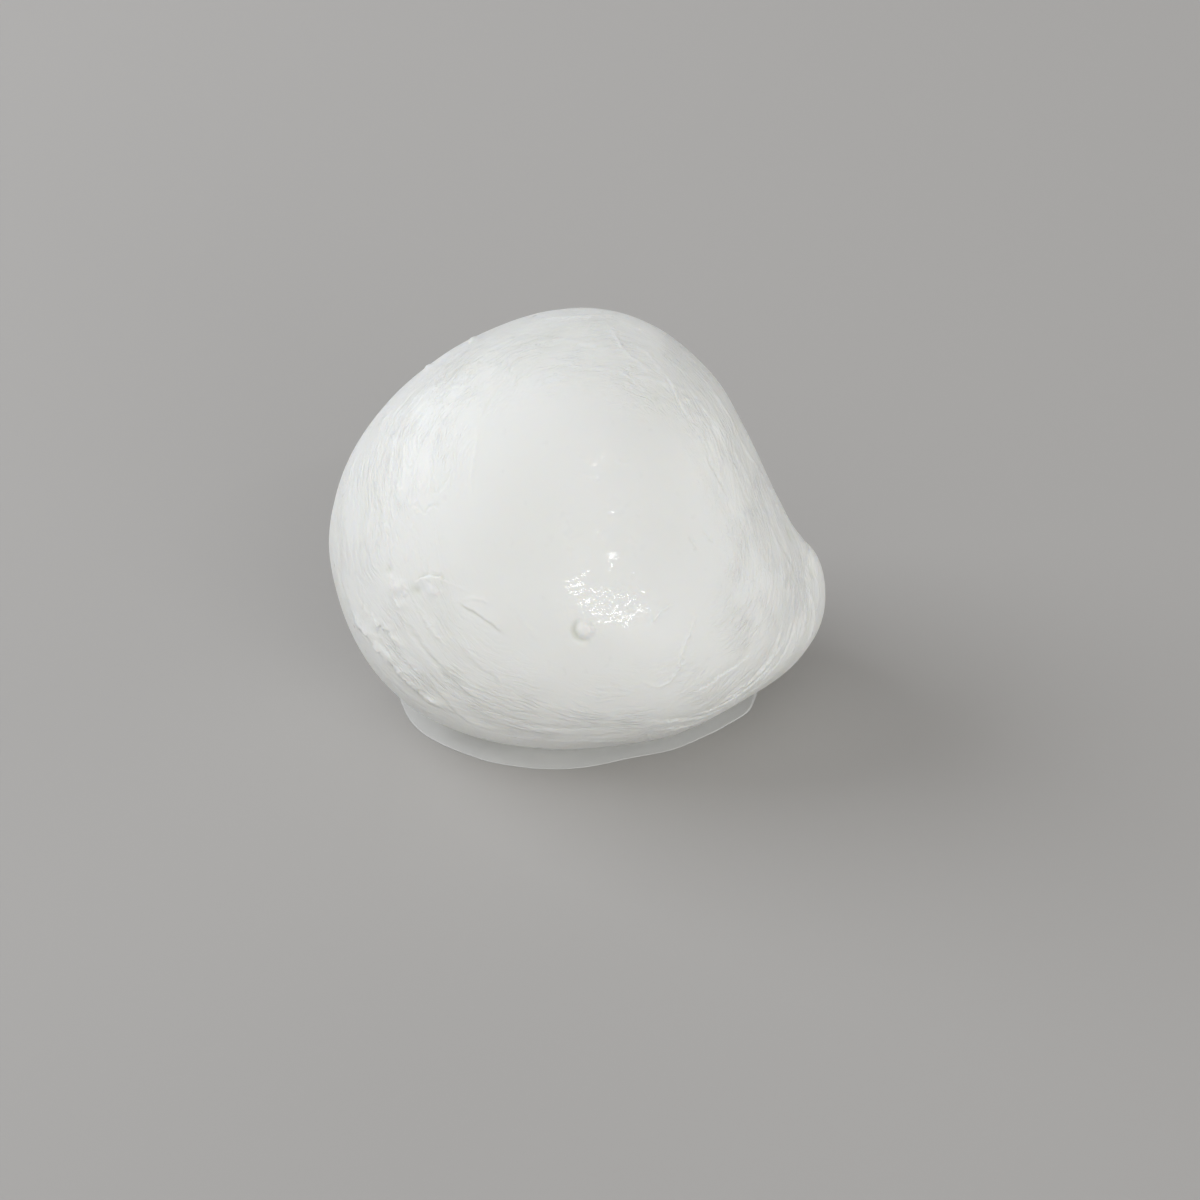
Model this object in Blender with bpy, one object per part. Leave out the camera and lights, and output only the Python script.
"""Mozzarella ball: one soft ball of pulled curd that has slumped a little under its own weight.

The ball is a single solid.  Its skin is where the pull of four lumps of curd, a belly, a cheek, a
dome and a tail, adds up to one.  The tail is the end where the curd was pinched off the strand: it
is folded against the flank, so a crease parts the two at the top and fades out towards the foot.
The ball rests on the flat foot that its weight presses into it.

Frame: +Z up, +X towards the tail, origin at the middle of the ball's box, on the resting plane.
"""

import math
from typing import NamedTuple

import bmesh
import bpy
from mathutils import Vector, noise

NAME = "mozzarella_ball"
MM = 0.001


class Lump(NamedTuple):
    """A lump of curd: its middle and its half sizes in mm, and how firmly it keeps its outline."""

    middle: Vector
    reach: Vector
    firmness: float


# Driving dimensions, in mm above the resting plane.
BELLY = Lump(Vector((2.3, 0.0, 21.6)), Vector((34.6, 34.9, 23.8)), 2.5)
CHEEK = Lump(Vector((-16.8, 0.0, 29.8)), Vector((29.7, 31.2, 33.0)), 2.5)
DOME = Lump(Vector((-2.0, 4.3, 38.9)), Vector((28.5, 28.8, 31.8)), 2.5)
TAIL = Lump(Vector((23.7, 4.6, 17.8)), Vector((17.1, 21.4, 13.8)), 6.0)
BODY = (BELLY, CHEEK, DOME)

HEART = Vector((0.0, 0.0, 28.0))    # every point of the skin is in sight of here
SKIN_NEAREST = 5.0                  # the skin lies between these distances from the heart
SKIN_FARTHEST = 75.0
SKIN_EXACTNESS = 0.002

CREASE_LOW = 12.0                   # the tail's crease fades in between these heights
CREASE_HIGH = 26.0

HOLLOW_SPACING = 26.0               # broad hollows and swells that handling leaves
HOLLOW_DEPTH = 0.55
RIPPLE_SPACING = 11.0               # smaller ripples on top of them
RIPPLE_DEPTH = 0.22

CELLS = 28                          # mesh cells along each side of the ball
RIM_WELD = 1.0                      # points this close to the foot's rim are drawn onto it

CURD_WHITE = (0.80, 0.79, 0.75, 1.0)
CURD_ROUGHNESS = 0.34
CURD_GLOW = 0.25
CURD_GLOW_REACH = (2.2 * MM, 1.8 * MM, 1.4 * MM)


def clear_scene():
    """Remove every object that the file opened with."""
    for old in list(bpy.data.objects):
        bpy.data.objects.remove(old, do_unlink=True)


def pull(lump, point):
    """Return the pull of one lump at a point: 1 on its own outline, more inside."""
    offset = point - lump.middle
    ratio = sum((offset[axis] / lump.reach[axis]) ** 2 for axis in range(3))
    return math.exp(lump.firmness * (1.0 - ratio))


def smooth_step(low, high, value):
    """Return 0 below low, 1 above high, and a smooth rise between them."""
    share = min(max((value - low) / (high - low), 0.0), 1.0)
    return share * share * (3.0 - 2.0 * share)


def curd_pull(point):
    """Return the whole pull at a point: the skin is where it is 1.

    Where the crease is sharp only the stronger of the body and the tail counts, so they meet in a
    fold. Where it has faded they add up, so one runs into the other.
    """
    body = sum(pull(lump, point) for lump in BODY)
    tail = pull(TAIL, point)
    crease = smooth_step(CREASE_LOW, CREASE_HIGH, point.z)
    return max(body, tail) + (1.0 - crease) * min(body, tail)


def skin_distance(direction):
    """Return how far from the heart the smooth skin lies in a direction, in mm."""
    near, far = SKIN_NEAREST, SKIN_FARTHEST
    while far - near > SKIN_EXACTNESS:
        middle = 0.5 * (near + far)
        if curd_pull(HEART + direction * middle) > 1.0:
            near = middle
        else:
            far = middle
    return 0.5 * (near + far)


def unevenness(point):
    """Return how far handling has raised or dented the skin at a point, in mm."""
    hollows = HOLLOW_DEPTH * noise.noise(point / HOLLOW_SPACING)
    ripples = RIPPLE_DEPTH * noise.noise(point / RIPPLE_SPACING)
    return hollows + ripples


def even_direction(corner):
    """Return the direction of a cube's point, spread so that all cells come out near equal."""
    spread = Vector(math.tan(0.25 * math.pi * side) for side in corner)
    return spread.normalized()


def make_skin(mesh):
    """Blow a cube with a grid on each face out to the ball's skin, still without its foot."""
    bmesh.ops.create_cube(mesh, size=2.0)
    bmesh.ops.subdivide_edges(mesh, edges=mesh.edges[:], cuts=CELLS - 1, use_grid_fill=True)
    for vert in mesh.verts:
        direction = even_direction(vert.co)
        smooth = HEART + direction * skin_distance(direction)
        vert.co = smooth + direction * unevenness(smooth)


def press_foot(mesh):
    """Cut the ball flat where it rests, tidy the rim and close it with one face."""
    everything = mesh.verts[:] + mesh.edges[:] + mesh.faces[:]
    bmesh.ops.bisect_plane(mesh, geom=everything, dist=1e-4, plane_co=(0.0, 0.0, 0.0),
                           plane_no=(0.0, 0.0, 1.0), clear_inner=True)
    onto_rim = {}
    for edge in mesh.edges:
        low, high = sorted(edge.verts, key=lambda vert: vert.co.z)
        if low.is_boundary and not high.is_boundary and edge.calc_length() < RIM_WELD:
            onto_rim[high] = low
    bmesh.ops.weld_verts(mesh, targetmap=onto_rim)
    rim = [edge for edge in mesh.edges if edge.is_boundary]
    bmesh.ops.contextual_create(mesh, geom=rim)
    bmesh.ops.recalc_face_normals(mesh, faces=mesh.faces[:])


def centre_on_foot(mesh):
    """Move the ball so that the middle of its box stands over the origin."""
    for axis in (0, 1):
        places = [vert.co[axis] for vert in mesh.verts]
        shift = Vector((0.0, 0.0, 0.0))
        shift[axis] = -0.5 * (min(places) + max(places))
        bmesh.ops.translate(mesh, verts=mesh.verts[:], vec=shift)


def make_curd():
    """Return the material: moist, slightly translucent white curd."""
    material = bpy.data.materials.new("fresh_curd")
    material.use_nodes = True
    shader = material.node_tree.nodes["Principled BSDF"]
    shader.inputs["Base Color"].default_value = CURD_WHITE
    shader.inputs["Roughness"].default_value = CURD_ROUGHNESS
    shader.inputs["Metallic"].default_value = 0.0
    shader.inputs["Subsurface Weight"].default_value = CURD_GLOW
    shader.inputs["Subsurface Radius"].default_value = CURD_GLOW_REACH
    return material


def make_ball(collection):
    """Model the ball, give it its material and put it in the collection."""
    mesh = bmesh.new()
    make_skin(mesh)
    press_foot(mesh)
    centre_on_foot(mesh)
    bmesh.ops.scale(mesh, verts=mesh.verts[:], vec=(MM, MM, MM))
    data = bpy.data.meshes.new(NAME)
    mesh.to_mesh(data)
    mesh.free()
    data.shade_smooth()
    data.set_sharp_from_angle(angle=math.radians(40.0))
    data.materials.append(make_curd())
    collection.objects.link(bpy.data.objects.new(NAME, data))


def main():
    """Build the mozzarella ball in its own collection."""
    clear_scene()
    collection = bpy.data.collections.new("mozzarella ball")
    bpy.context.scene.collection.children.link(collection)
    make_ball(collection)


main()
